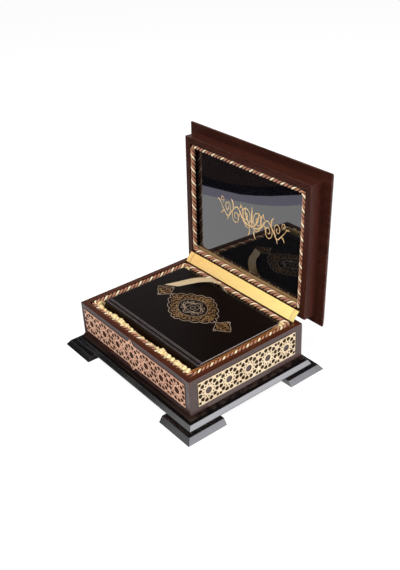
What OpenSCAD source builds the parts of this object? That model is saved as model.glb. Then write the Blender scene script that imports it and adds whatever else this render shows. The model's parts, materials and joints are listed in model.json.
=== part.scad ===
// Hinged book box: a lacquered wooden box on four corner feet, with pierced star
// fretwork on three walls, a satin lining with cord trim, a bound book lying inside,
// and a framed lid with a dark glass panel that stands open on two butt hinges.
// Millimetres, +Z up. The origin is on the table, at the middle of the open object.

/* [Box] */
// Outside width of the walls, left to right
box_w = 280; // [250:1:330]
// Outside depth of the walls, front to back
box_d = 215; // [195:1:260]
// Height of the walls
wall_h = 59.7; // [54:0.1:75]
// Thickness of the walls
wall_t = 12; // [10:0.5:15]

/* [Feet and plinth] */
// Length of a foot along each side
foot_len = 69.4; // [50:0.1:85]
// Height of a foot
foot_h = 8.8; // [6:0.1:14]
// How far a foot stands out from the plinth
foot_reach = 13.5; // [8:0.1:18]
// How far the sloping faces of a foot lean in
foot_slope = 6.4; // [3:0.1:8]
// How far the plinth stands out from the walls
plinth_reach = 11.2; // [8:0.1:16]
// Height of the plinth
plinth_h = 8; // [6:0.1:12]
// Height of the upright edge under the plinth's bevel
plinth_edge = 1; // [0.6:0.1:3]
// How far the plinth's bevel leans in
plinth_slope = 4.1; // [2:0.1:5]
// Height of the stepped moulding between plinth and walls
moulding_h = 6.6; // [4:0.1:10]
// How far the lower step of the moulding stands out from the walls
moulding_low_reach = 3.6; // [2.5:0.1:5]
// How far the upper step of the moulding stands out from the walls
moulding_top_reach = 1.6; // [0.8:0.1:2.4]

/* [Fretwork] */
// Thickness of the fretwork
fret_t = 0.8; // [0.6:0.1:2.5]
// Height of the fretwork band
fret_h = 40.2; // [38.4:0.1:41]
// Height of the band's lower edge above the foot of the wall
fret_lift = 11; // [8:0.1:12]
// Plain wall left beside the front band
fret_margin_front = 9.9; // [8:0.1:11]
// Plain wall left beside the side bands
fret_margin_side = 14.4; // [12:0.1:16]
// Wanted distance between rosettes
rosette_pitch = 37.5; // [37:0.1:38.5]
// Radius of the round eye in a rosette
eye_r = 5.8; // [4:0.1:6.5]
// Half the diagonal of the square set on its corner in the front band
diamond_half = 28.2; // [26:0.1:29]

/* [Lining and cord] */
// Diameter of the twisted cord
cord_d = 7.5; // [6:0.1:8]
// How far the cord stands proud of the rim
cord_proud = 0.1; // [0:0.1:1]
// Depth of the rebate in the walls that the cord lies in
cord_bite = 2.4; // [1:0.1:2.6]
// Depth of the rebate in the lid's rails that its cord lies in
lid_cord_bite = 1.4; // [1:0.1:2]
// Radius of the cord's centre line at the corners
cord_corner = 7; // [5:0.1:10]
// Room left between the front satin's puffs and the book's spine
puff_room_front = 3.35; // [2.5:0.05:6]
// Room left between the side satin's puffs and the book's ends
puff_room_side = 0.6; // [0.4:0.05:2]
// Room left between the back satin's puffs and the book, for the ribbon
puff_room_back = 4.7; // [4.2:0.05:7]
// Number of large folds along the front lining
front_folds = 9; // [4:1:14]

/* [Book] */
// Room between each end of the book and the wall
book_end_room = 10.6; // [9:0.05:28]
// Room between the book's spine and the front wall
book_front_room = 14.95; // [12:0.05:26]
// Room between the book's fore edge and the back wall
book_back_room = 12.55; // [12.1:0.05:24]
// Thickness of the closed book
book_t = 42; // [30:0.5:48]
// Thickness of the cover boards
board_t = 3; // [2:0.1:4]
// How far the boards overhang the pages
board_square = 3; // [2:0.1:4]
// How far the round spine bulges
spine_bulge = 6.5; // [4:0.1:8]
// Thickness of the spine and its joints
spine_t = 2.2; // [1.5:0.1:2.4]
// Width of the hinge joint between spine and board
joint_w = 8.5; // [6:0.1:11]
// Radius of the groove pressed into the joint
groove_r = 2.6; // [1.8:0.1:2.8]
// Width of the bookmark ribbon
bookmark_w = 13; // [10:0.5:14]

/* [Lid] */
// Depth of the lid's rails
lid_depth = 23.5; // [20:0.1:32]
// Gap between lid and rim when the lid is shut
lid_gap = 3; // [2.8:0.1:4]
// How far the lid's top board overhangs the rails
lid_reach = 14.8; // [10:0.1:18]
// Thickness of the lid's top board
lid_board_t = 11; // [8:0.1:16]
// Height of the top board's upright edge
lid_board_edge = 3; // [2:0.1:5]
// How far the top board's bevel leans in
lid_board_slope = 6; // [3:0.1:9]
// Depth of the glass below the rails' edge
glass_recess = 10; // [8:0.1:12]
// Thickness of the glass
glass_t = 3; // [2:0.1:5]
// How far the lid turns from shut to open
open_angle = 91.7; // [90:0.1:100]

/* [Hinges] */
// Distance of each hinge's middle from the end of the box
hinge_inset = 55; // [40:1:80]
// Length of a hinge
hinge_l = 40; // [30:1:50]
// Height of a hinge leaf from the pin's axis
leaf_h = 14; // [12:0.1:16]
// Thickness of a hinge leaf
leaf_t = 1.5; // [1:0.1:2]
// Outside radius of the hinge knuckles
barrel_r = 2.6; // [2.4:0.1:3.2]
// Radius of the hinge pin
pin_r = 1.25; // [1:0.05:1.4]
// Number of knuckles in a hinge
knuckles = 5; // [3:2:7]
// Radius of the hinge screws
screw_r = 1.2; // [0.9:0.05:1.4]
// Length of the hinge screws
screw_l = 9; // [7:0.5:9.5]

/* [Hinge strip] */
// Distance of the satin strip's ends from the ends of the box
strip_inset = 10; // [8:1:30]
// Thickness of the strip with its stiffener
strip_t = 0.8; // [0.5:0.1:1.2]
// Distance of the strip's lower edge from the back of the box
strip_seat = 8.5; // [7:0.1:9]
// Distance of the strip's upper edge from the lid's hinge side
strip_rise = 10.2; // [8:0.1:10.4]

/* [Hidden] */
$fn = 48;
// Clearance where one piece sits inside another
fit = 0.2;
// Clearance round a pin, a screw and between knuckles
pin_clear = 0.05;
knuckle_gap = 0.3;
// Clearance between soft pieces and their neighbours, and of the strip from the lid
soft_clear = 0.3;
strip_clear = 0.1;

plinth_z = foot_h;
moulding_z = plinth_z + plinth_h;
wall_z = moulding_z + moulding_h;
rim_z = wall_z + wall_h;
in_w = box_w - 2 * wall_t;
in_d = box_d - 2 * wall_t;
base_w = box_w + 2 * (plinth_reach + foot_reach);
base_d = box_d + 2 * (plinth_reach + foot_reach);

lid_z = rim_z + lid_gap;
lid_top = lid_z + lid_depth + lid_board_t;
axis_z = rim_z + lid_gap / 2;
axis_back = box_d / 2 + barrel_r;
// The open lid reaches back past the feet, and the object is centred between both
lid_back = axis_back + (lid_top - axis_z) * sin(open_angle)
    - (box_d / 2 + lid_reach - lid_board_slope + axis_back) * cos(open_angle);
box_y = -(max(lid_back, base_d / 2) - base_d / 2) / 2;

cord_r = cord_d / 2;
cord_in = cord_d - cord_bite + fit;
cord_seat_h = cord_d - cord_proud + fit;
cord_z = rim_z + cord_proud - cord_r;
fret_z = wall_z + fret_lift + fret_h / 2;
fret_front_l = box_w - 2 * fret_margin_front;
fret_side_l = box_d - 2 * fret_margin_side;

// The book takes what the lining leaves of the box
book_l = in_w - 2 * book_end_room;
book_w = in_d - book_front_room - book_back_room;
book_bottom = rim_z - book_t;
book_front = book_front_room - in_d / 2;
spine_edge = 0.4;
spine_chord = book_t - 2 * spine_edge;
spine_round = (spine_chord * spine_chord / 4 + spine_bulge * spine_bulge) / (2 * spine_bulge);
hollow_round = 60;
hollow_depth = 4;

hinge_x = box_w / 2 - hinge_inset;
knuckle_l = (hinge_l - (knuckles - 1) * knuckle_gap) / knuckles;
screw_head_h = 1.2;
screw_head_r = screw_r + screw_head_h;
// Distance of the screws from the leaf's edge and from its ends
screw_edge = 5.3;
screw_end = 6.4;
screw_rise = leaf_h - screw_edge;
screw_spread = hinge_l / 2 - screw_end;
strip_l = box_w - 2 * strip_inset;

// Bookmark: middle of the ribbon from its free end into the gap behind the book, as [distance
// from the book's left end, distance behind the cover, height above the cover, tilt]
bookmark_route = [
  [41.8, -53.75, 4.2, -2], [50.9, -42.75, 7.1, -8], [60.1, -32.25, 10.4, -8], [67.1, -20.2, 11.1, -5],
  [77.8, -8.15, 11.1, 0], [84.1, -2.75, 9.7, 12], [90.4, 1.05, 6.2, 30], [99.4, 2.25, 1.9, 72],
  [109.1, 2.35, -2.8, 84], [121.25, 2.4, -8, 88], [132.25, 1.6, -12, 90], [138.25, -1.2, -14, 90]
];
bookmark_t = 0.5;
bookmark_cut = 15;

// Shared shapes

// Puts a piece of the box in its place on the table
module in_box() {
  translate([0, box_y, 0])
    children();
}

// Turns a piece of the lid, drawn shut, to its open place
module in_lid() {
  in_box()
    translate([0, axis_back, axis_z])
      rotate([-open_angle, 0, 0])
        translate([0, -axis_back, -axis_z])
          children();
}

// Profile of y and z drawn out along x, centred
module along_x(length) {
  translate([-length / 2, 0, 0])
    rotate([90, 0, 90])
      linear_extrude(length)
        children();
}

// Profile of x and z drawn out along y, centred
module along_y(length) {
  translate([0, length / 2, 0])
    rotate([90, 0, 0])
      linear_extrude(length)
        children();
}

// Profile of a board with an upright edge and a bevel leaning in above it
module bevel_profile(size, height, edge, slope) {
  half = size / 2;
  polygon([
    [-half, 0], [half, 0], [half, edge], [half - slope, height], [slope - half, height], [-half, edge]
  ]);
}

// Rectangular board with all four edges bevelled
module bevelled_board(width, depth, height, edge, slope) {
  intersection() {
    along_y(depth) bevel_profile(width, height, edge, slope);
    along_x(width) bevel_profile(depth, height, edge, slope);
  }
}

// Rail with mitred ends, its outer face on the x axis and its thickness towards +y
module mitred_rail(length, height) {
  linear_extrude(height)
    polygon([
      [-length / 2, 0], [length / 2, 0], [length / 2 - wall_t, wall_t], [wall_t - length / 2, wall_t]
    ]);
}

module front_rail(height) {
  translate([0, -box_d / 2, 0])
    mitred_rail(box_w, height);
}

module back_rail(height) {
  rotate(180)
    front_rail(height);
}

module right_rail(height) {
  rotate(90)
    translate([0, -box_w / 2, 0])
      mitred_rail(box_d, height);
}

module left_rail(height) {
  rotate(180)
    right_rail(height);
}

// Rebate for the cord along the inner edge of four rails
module cord_rebate(bite, bottom, height) {
  translate([0, 0, bottom + height / 2])
    cube([in_w + 2 * bite, in_d + 2 * bite, height], center = true);
}

// Closed loop of round cord lying in the rebate of four rails
module cord_loop(bite) {
  half_w = in_w / 2 + bite - cord_r - pin_clear;
  half_d = in_d / 2 + bite - cord_r - pin_clear;
  run_w = 2 * (half_w - cord_corner);
  run_d = 2 * (half_d - cord_corner);
  for (side = [-1, 1]) {
    translate([-run_w / 2, side * half_d, 0]) rotate([0, 90, 0]) cylinder(r = cord_r, h = run_w);
    translate([side * half_w, run_d / 2, 0]) rotate([90, 0, 0]) cylinder(r = cord_r, h = run_d);
  }
  for (turn = [0 : 3]) {
    at = [[1, 1], [-1, 1], [-1, -1], [1, -1]][turn];
    translate([at.x * run_w / 2, at.y * run_d / 2, 0])
      rotate(turn * 90)
        rotate_extrude(angle = 90)
          translate([cord_corner, 0])
            circle(cord_r);
  }
}

// Feet, plinth and moulding

// Foot at the corner of +x and +y: two sloping outer faces and two upright ends
module corner_foot() {
  outline = [
    [-foot_len, 0], [0, 0], [-foot_slope, foot_h], [-foot_len, foot_h]
  ];
  translate([base_w / 2, base_d / 2, 0])
    intersection() {
      translate([0, -foot_len / 2, 0]) along_y(foot_len) polygon(outline);
      translate([-foot_len / 2, 0, 0]) along_x(foot_len) polygon(outline);
    }
}

module foot(side_x, side_y) {
  color([0.09, 0.08, 0.09])
    in_box()
      mirror([side_x < 0 ? 1 : 0, 0, 0])
        mirror([0, side_y < 0 ? 1 : 0, 0])
          corner_foot();
}

module foot_front_left() foot(-1, -1);
module foot_front_right() foot(1, -1);
module foot_back_left() foot(-1, 1);
module foot_back_right() foot(1, 1);

module plinth() {
  color([0.09, 0.08, 0.09])
    in_box()
      translate([0, 0, plinth_z])
        bevelled_board(
          box_w + 2 * plinth_reach, box_d + 2 * plinth_reach, plinth_h, plinth_edge, plinth_slope
        );
}

module base_moulding() {
  step = moulding_h / 2;
  color([0.11, 0.08, 0.08])
    in_box()
      for (level = [0, 1]) {
        reach = level == 0 ? moulding_low_reach : moulding_top_reach;
        translate([0, 0, moulding_z + step * (level + 0.5)])
          cube([box_w + 2 * reach, box_d + 2 * reach, step], center = true);
      }
}

// Walls

// A rail set on the moulding, less the cord's rebate and the holes for the screws
module wall() {
  color([0.24, 0.17, 0.17])
    in_box()
      difference() {
        translate([0, 0, wall_z]) children();
        cord_rebate(cord_bite, rim_z - cord_seat_h, cord_seat_h + 1);
        all_screws(-1, pin_clear);
      }
}

module wall_front() {
  wall() front_rail(wall_h);
}

module wall_left() {
  wall() left_rail(wall_h);
}

module wall_right() {
  wall() right_rail(wall_h);
}

module wall_back() {
  wall() back_rail(wall_h);
}

// Fretwork: rosettes of twelve petals round an open eye, in a bordered band

// Distances from a rosette's middle to the corners of its holes
bud_in = 8.4;
bud_wide = 9.9;
bud_out = 11.4;
bud_half = 1.1;
petal_in = 11.4;
petal_low = 13.8;
petal_high = 17.1;
petal_out = 18.8;
petal_half = 2.8;
petal_tip_half = 3.6;
corner_hole_in = 19.9;
corner_hole_out = 25;
corner_hole_half = 3;
petals = 12;
// Hole in each corner of the square set on its corner
diamond_rim = 2.7;
diamond_hole_in = 9.1;
diamond_hole_wide = 4.9;
diamond_hole_half = 1.9;

module kite(near, wide, far, half) {
  polygon([[near, 0], [wide, half], [far, 0], [wide, -half]]);
}

module petal_hole() {
  polygon([
    [petal_in, 0], [petal_low, petal_half], [petal_high, petal_tip_half], [petal_out, 0],
    [petal_high, -petal_tip_half], [petal_low, -petal_half]
  ]);
}

module rosette_holes() {
  step = 360 / petals;
  circle(eye_r);
  for (i = [0 : petals - 1]) {
    rotate(i * step) kite(bud_in, bud_wide, bud_out, bud_half);
    rotate((i + 0.5) * step) petal_hole();
  }
}

// Small holes that fill the corners of a rosette's square cell
module cell_corner_holes() {
  for (quarter = [0 : 3])
    rotate(quarter * 90 + 45)
      kite(corner_hole_in, (corner_hole_in + corner_hole_out) / 2, corner_hole_out, corner_hole_half);
}

module band_holes(length) {
  count = max(1, floor(length / rosette_pitch + 0.2));
  pitch = length / count;
  for (i = [0 : count - 1])
    translate([(i - (count - 1) / 2) * pitch, 0]) {
      rosette_holes();
      cell_corner_holes();
    }
}

module side_fret() {
  linear_extrude(fret_t)
    difference() {
      square([fret_side_l, fret_h], center = true);
      band_holes(fret_side_l);
    }
}

module diamond(half) {
  polygon([[half, 0], [0, half], [-half, 0], [0, -half]]);
}

// Front band with a square set on its corner over the middle
module front_fret() {
  linear_extrude(fret_t)
    difference() {
      union() {
        square([fret_front_l, fret_h], center = true);
        diamond(diamond_half);
      }
      difference() {
        band_holes(fret_front_l);
        diamond(diamond_half);
      }
      rosette_holes();
      for (quarter = [0 : 3])
        rotate(quarter * 90)
          kite(
            diamond_half - diamond_hole_in, diamond_half - diamond_hole_wide,
            diamond_half - diamond_rim, diamond_hole_half
          );
    }
}

module fret_front() {
  color([0.87, 0.67, 0.5])
    in_box()
      translate([0, -box_d / 2, fret_z])
        rotate([90, 0, 0])
          front_fret();
}

module fret_right() {
  color([0.95, 0.84, 0.62])
    in_box()
      translate([box_w / 2, 0, fret_z])
        rotate([90, 0, 90])
          side_fret();
}

module fret_left() {
  color([0.95, 0.84, 0.62])
    in_box()
      translate([-box_w / 2, 0, fret_z])
        rotate([90, 0, -90])
          side_fret();
}

// Lining: gathered satin bolsters that fill the gap between each wall and the book

// Depth of the gathers at a place along the bolster, from 0 to 1
function gather(place, folds, phase) =
  0.5 + 0.3 * sin(360 * folds * place + phase) + 0.2 * sin(360 * folds * 1.7 * place + 2 * phase);

// Least thickness of the satin in front of the cord, and its least depth below the rim
satin_least = 0.7;
satin_drop = 3;
// How far the bolster draws in at its foot and shoulder, and drops from its crown
foot_tuck = 1.5;
shoulder_tuck = 0.4;
shoulder_drop = 2.4;
cord_drop = 1.8;
// How far the puffs rise, along the front and along the other sides
front_rise = 4.2;
side_rise = 1;

// Outline of the bolster across its length: [distance from the wall, height]
function bolster_outline(swell, crown) =
  let (
    back = cord_in + soft_clear,
    front = back + satin_least + swell,
    under = cord_z - cord_r - soft_clear,
    top = rim_z - satin_drop + crown
  )
  [
    [0, book_bottom], [front - foot_tuck, book_bottom], [front, (book_bottom + top) / 2],
    [front - shoulder_tuck, top - shoulder_drop], [(front + back) / 2, top], [back, top - cord_drop],
    [back, under], [0, under]
  ];

// Depth of the puffs in a gap between wall and book
function puff_depth(gap, room) = gap - cord_in - soft_clear - satin_least - room;

// Bolster along a wall whose inner face is the x axis, with its puffs towards +y
module bolster(length, depth, rise, folds, phase) {
  stations = 60;
  corners = 8;
  places = [for (i = [0 : stations]) i / stations];
  points = [
    for (place = places)
      let (g = gather(place, folds, phase), ease = min(1, 8 * place, 8 * (1 - place)))
      for (p = bolster_outline(depth * g * ease, rise * g * ease))
        [(place - 0.5) * length, p.x, p.y]
  ];
  skin = [
    for (i = [0 : stations - 1])
      for (j = [0 : corners - 1])
        let (
          a = i * corners + j,
          b = i * corners + (j + 1) % corners,
          c = a + corners,
          d = b + corners
        )
        each [[a, b, c], [b, d, c]]
  ];
  first = [for (j = [corners - 1 : -1 : 0]) j];
  last = [for (j = [0 : corners - 1]) stations * corners + j];
  polyhedron(points, concat(skin, [first, last]));
}

lining_run_w = in_w - 2 * (cord_in + cord_corner);
lining_run_d = in_d - 2 * (cord_in + cord_corner);
front_puff = puff_depth(book_front_room, puff_room_front);
back_puff = puff_depth(book_back_room, puff_room_back);
side_puff = puff_depth(book_end_room, puff_room_side);
side_folds = front_folds - 3;

module lining_front() {
  color([0.95, 0.83, 0.5])
    in_box()
      translate([0, -in_d / 2, 0])
        bolster(lining_run_w, front_puff, front_rise, front_folds, 20);
}

module lining_back() {
  color([0.95, 0.83, 0.5])
    in_box()
      translate([0, in_d / 2, 0])
        rotate(180)
          bolster(lining_run_w, back_puff, side_rise, front_folds, 140);
}

module lining_left() {
  color([0.95, 0.83, 0.5])
    in_box()
      translate([-in_w / 2, 0, 0])
        rotate(-90)
          bolster(lining_run_d, side_puff, side_rise, side_folds, 75);
}

module lining_right() {
  color([0.95, 0.83, 0.5])
    in_box()
      translate([in_w / 2, 0, 0])
        rotate(90)
          bolster(lining_run_d, side_puff, side_rise, side_folds, 220);
}

// Satin covered pad that carries the book
module floor_pad() {
  pad_h = book_bottom - wall_z;
  color([0.93, 0.8, 0.47])
    in_box()
      translate([0, 0, wall_z + pad_h / 2])
        cube([in_w - 2 * fit, in_d - 2 * fit, pad_h], center = true);
}

module box_cord() {
  color([0.62, 0.42, 0.3]) in_box() translate([0, 0, cord_z]) cord_loop(cord_bite);
}

// Book, drawn with its spine at y = 0 and its lower board on z = 0

module in_book() {
  in_box()
    translate([0, book_front, book_bottom])
      children();
}

board_y = spine_bulge + joint_w;

module cover_board() {
  translate([0, (board_y + book_w) / 2, board_t / 2])
    cube([book_l, book_w - board_y, board_t], center = true);
}

module book_lower_cover() {
  color([0.1, 0.08, 0.09]) in_book() cover_board();
}

module book_upper_cover() {
  color([0.1, 0.08, 0.09]) in_book() translate([0, 0, book_t - board_t]) cover_board();
}

// Rounded spine with a pressed joint above and below
module spine_profile() {
  groove_y = spine_bulge + joint_w / 2;
  groove_in = spine_edge - groove_r / 2;
  difference() {
    union() {
      intersection() {
        difference() {
          translate([spine_round, book_t / 2]) circle(spine_round, $fn = 180);
          translate([spine_round, book_t / 2]) circle(spine_round - spine_t, $fn = 180);
        }
        translate([0, spine_edge]) square([spine_bulge, spine_chord]);
      }
      for (level = [spine_edge, book_t - spine_edge - spine_t])
        translate([spine_bulge, level]) square([joint_w, spine_t]);
    }
    for (level = [groove_in, book_t - groove_in])
      translate([groove_y, level]) circle(groove_r);
  }
}

module book_spine() {
  color([0.13, 0.09, 0.08]) in_book() along_x(book_l) spine_profile();
}

// Pages with a rounded back and a hollow fore edge
module page_block() {
  back = book_w - board_square;
  color([0.72, 0.5, 0.2])
    in_book()
      along_x(book_l - 2 * board_square)
        difference() {
          intersection() {
            union() {
              translate([spine_round, book_t / 2]) circle(spine_round - spine_t - fit, $fn = 180);
              translate([spine_round, board_t]) square([back - spine_round, book_t - 2 * board_t]);
            }
            translate([0, board_t]) square([back, book_t - 2 * board_t]);
          }
          translate([back + hollow_round - hollow_depth, book_t / 2]) circle(hollow_round, $fn = 180);
        }
}

// Ribbon with a slanted free end, swept along its route
module bookmark_ribbon() {
  last = len(bookmark_route) - 1;
  middle = [for (r = bookmark_route) [r.x - book_l / 2, book_front + book_w + r.y, rim_z + r.z]];
  heading = [
    for (i = [0 : last])
      let (step = middle[min(i + 1, last)] - middle[max(i - 1, 0)])
      step / norm(step)
  ];
  points = [
    for (i = [0 : last])
      let (
        tilt = bookmark_route[i][3],
        level = [-heading[i].y, heading[i].x, 0] / norm([heading[i].x, heading[i].y]),
        across = level * cos(tilt) - [0, 0, sin(tilt)],
        face = cross(heading[i], across),
        cut = i == 0 ? bookmark_cut : 0
      )
      each [
        middle[i] + across * bookmark_w / 2 - heading[i] * cut - face * bookmark_t / 2,
        middle[i] - across * bookmark_w / 2 + heading[i] * cut / 2 - face * bookmark_t / 2,
        middle[i] - across * bookmark_w / 2 + heading[i] * cut / 2 + face * bookmark_t / 2,
        middle[i] + across * bookmark_w / 2 - heading[i] * cut + face * bookmark_t / 2
      ]
  ];
  skin = [
    for (i = [0 : last - 1])
      for (j = [0 : 3])
        let (a = 4 * i + j, b = 4 * i + (j + 1) % 4)
        each [[a, b, a + 4], [b, b + 4, a + 4]]
  ];
  color([0.84, 0.75, 0.55])
    in_box()
      polyhedron(points, concat(skin, [[3, 2, 1, 0], [for (j = [0 : 3]) 4 * last + j]]));
}

// Hinges, drawn shut with the pin along x through the hinge axis

// Knuckles of one leaf: the box leaf has the even ones and the lid leaf the odd ones
module knuckle_row(parity, radius, spare) {
  for (i = [parity : 2 : knuckles - 1])
    translate([-hinge_l / 2 + i * (knuckle_l + knuckle_gap) - spare, 0, 0])
      rotate([0, 90, 0])
        cylinder(r = radius, h = knuckle_l + 2 * spare);
}

// Leaf with its knuckles, going up from the axis for side 1 and down for side -1
module hinge_leaf(side) {
  parity = side < 0 ? 0 : 1;
  difference() {
    union() {
      difference() {
        translate([0, leaf_t / 2 - barrel_r, side * (leaf_h + knuckle_gap) / 2])
          cube([hinge_l, leaf_t, leaf_h - knuckle_gap], center = true);
        knuckle_row(1 - parity, barrel_r + knuckle_gap, knuckle_gap);
      }
      knuckle_row(parity, barrel_r, 0);
    }
    rotate([0, 90, 0]) cylinder(r = pin_r + pin_clear, h = 2 * hinge_l, center = true);
    hinge_screws(side, pin_clear);
  }
}

// Three countersunk screws through a leaf
module hinge_screws(side, spare) {
  for (i = [-1 : 1])
    translate([i * screw_spread, leaf_t - barrel_r, side * screw_rise])
      rotate([90, 0, 0]) {
        cylinder(r = screw_r + spare, h = screw_l + spare);
        cylinder(r1 = screw_head_r + spare, r2 = screw_r + spare, h = screw_head_h);
      }
}

module at_hinge(side_x) {
  translate([side_x * hinge_x, axis_back, axis_z])
    children();
}

module all_screws(side, spare) {
  for (side_x = [-1, 1])
    at_hinge(side_x) hinge_screws(side, spare);
}

module hinge_leaf_box_left() {
  color([0.8, 0.62, 0.3]) in_box() at_hinge(-1) hinge_leaf(-1);
}

module hinge_leaf_box_right() {
  color([0.8, 0.62, 0.3]) in_box() at_hinge(1) hinge_leaf(-1);
}

module hinge_leaf_lid_left() {
  color([0.8, 0.62, 0.3]) in_lid() at_hinge(-1) hinge_leaf(1);
}

module hinge_leaf_lid_right() {
  color([0.8, 0.62, 0.3]) in_lid() at_hinge(1) hinge_leaf(1);
}

module hinge_pin() {
  rotate([0, 90, 0])
    cylinder(r = pin_r, h = hinge_l, center = true);
}

module hinge_pin_left() {
  color([0.7, 0.55, 0.28]) in_box() at_hinge(-1) hinge_pin();
}

module hinge_pin_right() {
  color([0.7, 0.55, 0.28]) in_box() at_hinge(1) hinge_pin();
}

module hinge_screws_box() {
  color([0.75, 0.6, 0.3]) in_box() all_screws(-1, 0);
}

module hinge_screws_lid() {
  color([0.75, 0.6, 0.3]) in_lid() all_screws(1, 0);
}

// Place of a point of the shut lid, given from the hinge axis, when the lid is open: [y, z]
function opened(y, z) = [
  axis_back + y * cos(open_angle) + z * sin(open_angle),
  axis_z - y * sin(open_angle) + z * cos(open_angle)
];

// Satin strip from the back rim up to the open lid's lower rail
module hinge_strip() {
  // The strip leans at about 45 degrees, so its edges are wider than it is thick
  edge = strip_t * sqrt(2);
  low = [box_d / 2 - strip_seat, rim_z];
  low_back = low + [edge, 0];
  high = opened(-barrel_r - strip_rise, lid_gap / 2 - strip_clear);
  high_back = opened(edge - barrel_r - strip_rise, lid_gap / 2 - strip_clear);
  color([0.96, 0.8, 0.45])
    in_box()
      along_x(strip_l)
        polygon([low, low_back, high_back, high]);
}

// Lid

module lid_board() {
  color([0.2, 0.13, 0.13])
    in_lid()
      translate([0, 0, lid_z + lid_depth])
        bevelled_board(
          box_w + 2 * lid_reach, box_d + 2 * lid_reach, lid_board_t, lid_board_edge, lid_board_slope
        );
}

// A rail under the top board, less the cord's rebate and the holes for the screws
module lid_rail() {
  color([0.3, 0.19, 0.17])
    in_lid()
      difference() {
        translate([0, 0, lid_z]) children();
        cord_rebate(lid_cord_bite, lid_z - 1, cord_seat_h + 1);
        all_screws(1, pin_clear);
      }
}

module lid_rail_front() {
  lid_rail() front_rail(lid_depth);
}

module lid_rail_left() {
  lid_rail() left_rail(lid_depth);
}

module lid_rail_right() {
  lid_rail() right_rail(lid_depth);
}

module lid_rail_back() {
  lid_rail() back_rail(lid_depth);
}

// Board that packs the glass out from the top board
module lid_backing() {
  height = lid_depth - glass_recess - glass_t;
  color([0.2, 0.15, 0.12])
    in_lid()
      translate([0, 0, lid_z + lid_depth - height / 2])
        cube([in_w - 2 * fit, in_d - 2 * fit, height], center = true);
}

module lid_glass() {
  color([0.05, 0.05, 0.06])
    in_lid()
      translate([0, 0, lid_z + glass_recess + glass_t / 2])
        cube([in_w - 2 * fit, in_d - 2 * fit, glass_t], center = true);
}

module lid_cord() {
  color([0.62, 0.42, 0.3]) in_lid() translate([0, 0, lid_z - cord_proud + cord_r]) cord_loop(lid_cord_bite);
}

foot_front_left();
foot_front_right();
foot_back_left();
foot_back_right();
plinth();
base_moulding();
wall_front();
wall_back();
wall_left();
wall_right();
fret_front();
fret_left();
fret_right();
lining_front();
lining_back();
lining_left();
lining_right();
floor_pad();
box_cord();
book_lower_cover();
book_upper_cover();
book_spine();
page_block();
bookmark_ribbon();
hinge_leaf_box_left();
hinge_leaf_box_right();
hinge_pin_left();
hinge_pin_right();
hinge_screws_box();
hinge_strip();
lid_board();
lid_rail_front();
lid_rail_back();
lid_rail_left();
lid_rail_right();
lid_backing();
lid_glass();
lid_cord();
hinge_leaf_lid_left();
hinge_leaf_lid_right();
hinge_screws_lid();
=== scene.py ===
# %% [markdown]
# # A lacquered book box with its lid open
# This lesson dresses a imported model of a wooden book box: four feet, a stepped base, walls
# with pierced gold fretwork, a satin lining with twisted cord, a bound book and a glazed lid.
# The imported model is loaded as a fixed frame, so every piece below is made at its real place
# and size, in metres. The box of the bare model is kept, to compare with the finished one.

# %% Load the frame
import json
import math
from math import cos, pi, radians, sin

import bpy
import numpy as np
from mathutils import Matrix, Vector


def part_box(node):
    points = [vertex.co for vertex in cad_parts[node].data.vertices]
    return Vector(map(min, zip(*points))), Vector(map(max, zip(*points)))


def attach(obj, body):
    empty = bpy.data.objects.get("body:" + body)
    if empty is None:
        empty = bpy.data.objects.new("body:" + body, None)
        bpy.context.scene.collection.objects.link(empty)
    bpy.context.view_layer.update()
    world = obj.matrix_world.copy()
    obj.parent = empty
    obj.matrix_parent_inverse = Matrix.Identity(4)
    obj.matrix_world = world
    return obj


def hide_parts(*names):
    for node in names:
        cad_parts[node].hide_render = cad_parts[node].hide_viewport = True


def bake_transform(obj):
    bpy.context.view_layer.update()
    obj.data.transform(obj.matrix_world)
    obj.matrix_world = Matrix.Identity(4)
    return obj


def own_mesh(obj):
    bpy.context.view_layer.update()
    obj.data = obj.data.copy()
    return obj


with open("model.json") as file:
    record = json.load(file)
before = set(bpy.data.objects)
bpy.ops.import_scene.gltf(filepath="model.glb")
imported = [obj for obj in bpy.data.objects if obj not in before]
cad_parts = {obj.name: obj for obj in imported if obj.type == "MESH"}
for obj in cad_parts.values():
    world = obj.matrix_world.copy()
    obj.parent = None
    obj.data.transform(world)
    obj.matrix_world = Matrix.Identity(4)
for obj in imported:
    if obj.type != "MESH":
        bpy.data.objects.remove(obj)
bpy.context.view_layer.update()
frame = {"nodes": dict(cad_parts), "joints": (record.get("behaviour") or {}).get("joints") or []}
MM = 0.001

# %% [markdown]
# ## The camera
# The picture was taken from the right front corner, a little above the lid, with a longish
# lens and the camera tilted by a few degrees. Its angles were worked out from the straight
# edges of the box. A camera can be aimed with constraints, but three turns written as
# matrices also hold the tilt, so that is done here.

# %% Camera
TURNED, RAISED, TILTED = 52.75, 30.77, -2.87
CAMERA_AT = (0.81417, -0.60304, 0.73055)
FOCAL_PX, LONG_SIDE_PX, SENSOR = 775.09, 570, 36


def put(name, data):
    made = bpy.data.objects.new(name, data)
    bpy.context.scene.collection.objects.link(made)
    return made


def rotated(degrees, axis):
    return Matrix.Rotation(radians(degrees), 4, axis)


camera = put("camera", bpy.data.cameras.new("camera"))
camera.matrix_world = (Matrix.Translation(CAMERA_AT) @ rotated(TURNED, "Z")
                       @ rotated(90 - RAISED, "X") @ rotated(TILTED, "Z"))
camera.data.sensor_width = SENSOR
camera.data.lens = SENSOR * FOCAL_PX / LONG_SIDE_PX
camera.data.clip_start = 0.02
bpy.context.scene.camera = camera
print("camera lens", round(camera.data.lens, 2), "mm")

# %% [markdown]
# ## Places to measure from
# The walls, the rim and the hinge line come from the frame, so nothing has to be fitted by
# eye. Pieces of the lid are easiest to draw as if the lid were shut, lying level over the
# box. One matrix then swings them open about the hinge line.

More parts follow.
